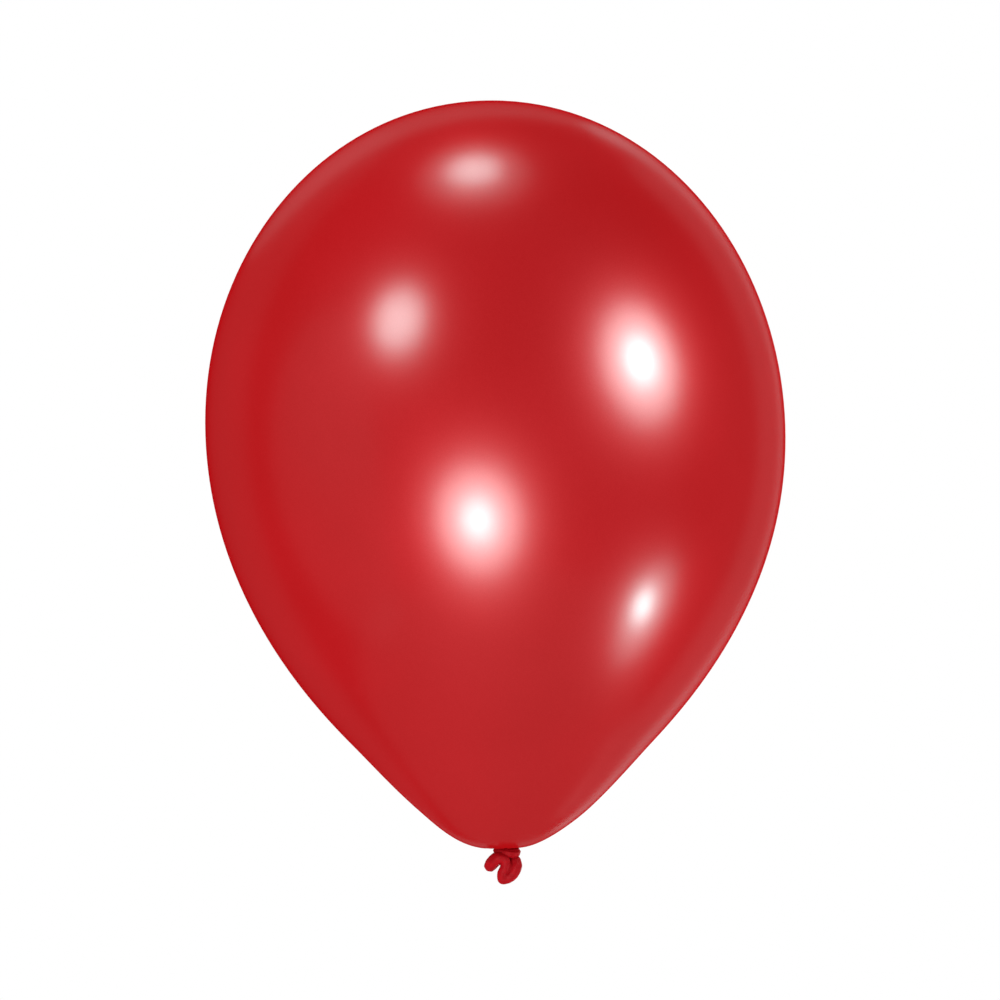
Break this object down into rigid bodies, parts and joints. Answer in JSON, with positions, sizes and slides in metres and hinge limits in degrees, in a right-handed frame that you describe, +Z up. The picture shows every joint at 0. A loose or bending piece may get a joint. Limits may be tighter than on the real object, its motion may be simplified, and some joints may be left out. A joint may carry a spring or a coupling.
{
  "type": "latex balloon",
  "caption": "Latex party balloon blown up to a teardrop, with a pearl sheen, tied off in a knot that leaves a short tail and a rolled rim.",
  "frame": {"origin": "middle of the gathered neck, between the film and the knot, where a ribbon or a balloon stick holds the balloon", "axes": "+Z up through the middle of the crown, -Y towards the front, +X to the right as seen from the front"},
  "size_m": [0.28, 0.28, 0.3783],
  "materials": {
    "blown_film": "gloss",
    "neck_rubber": "satin"
  },
  "bodies": {
    "balloon": {"envelope": "blown_film"},
    "knot": {"neck": "neck_rubber", "knot_loop": "neck_rubber"},
    "bight": {"knot_bight": "neck_rubber"},
    "tail": {"tail_sleeve": "neck_rubber", "rolled_rim": "neck_rubber"}
  },
  "joints": [
    {"name": "neck_twist", "type": "hinge", "parent": "balloon", "child": "knot", "pos_m": [0, 0, 0], "axis": [0, 0, 1], "range_deg": [-90, 90], "stiffness_Nm_per_rad": 0.00002},
    {"name": "tail_sway", "type": "hinge", "parent": "knot", "child": "bight", "pos_m": [0.001, 0, -0.008], "axis": [0, 1, 0], "range_deg": [-15, 15], "stiffness_Nm_per_rad": 0.0001},
    {"name": "tail_flap", "type": "hinge", "parent": "bight", "child": "tail", "pos_m": [0.001, 0, -0.008], "axis": [1, 0, 0], "range_deg": [-25, 25], "stiffness_Nm_per_rad": 0.0001}
  ]
}
